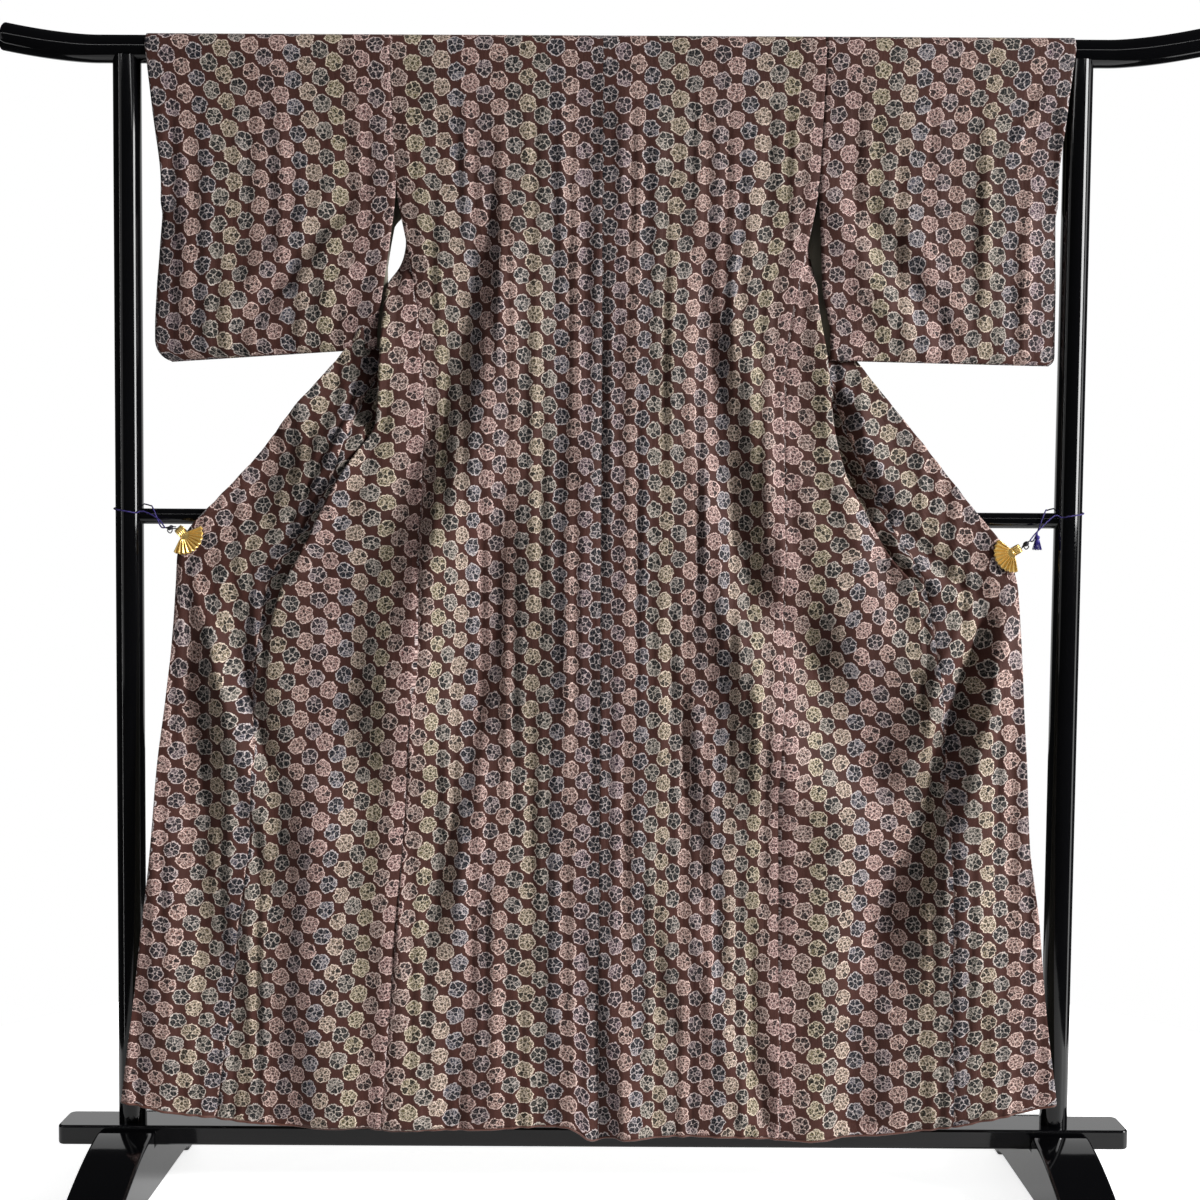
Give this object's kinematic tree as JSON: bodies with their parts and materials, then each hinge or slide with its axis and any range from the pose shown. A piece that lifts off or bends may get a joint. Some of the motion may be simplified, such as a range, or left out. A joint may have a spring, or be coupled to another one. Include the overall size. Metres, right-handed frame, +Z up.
{
  "type": "kimono on a kimono stand",
  "caption": "Lined kimono hung over the top rod of a lacquered kimono stand, seen from its back, with its fronts drawn out and held by cord clips.",
  "frame": {"origin": "middle of the stand's footprint, on the floor", "axes": "+Z up, +X along the top rod, -Y towards the kimono's shown back"},
  "size_m": [1.6804, 0.42, 1.6576],
  "materials": {
    "crepe": "fine silk crepe, soft sheen",
    "lacquer": "glossy black lacquer",
    "gold": "polished gilt",
    "cord": "twisted cord"
  },
  "bodies": {
    "root": {"back_left": "crepe", "back_right": "crepe", "front_left": "crepe", "front_right": "crepe", "okumi_left": "crepe", "okumi_right": "crepe", "sleeve_left": "crepe", "sleeve_right": "crepe", "collar": "crepe", "top_rod": "lacquer", "post_left": "lacquer", "post_right": "lacquer", "middle_rail": "lacquer", "base_beam": "lacquer", "foot_left": "lacquer", "foot_right": "lacquer", "clip_left": "gold", "clip_right": "gold", "cord_left": "cord", "cord_right": "cord", "tassel": "cord"}
  },
  "joints": []
}
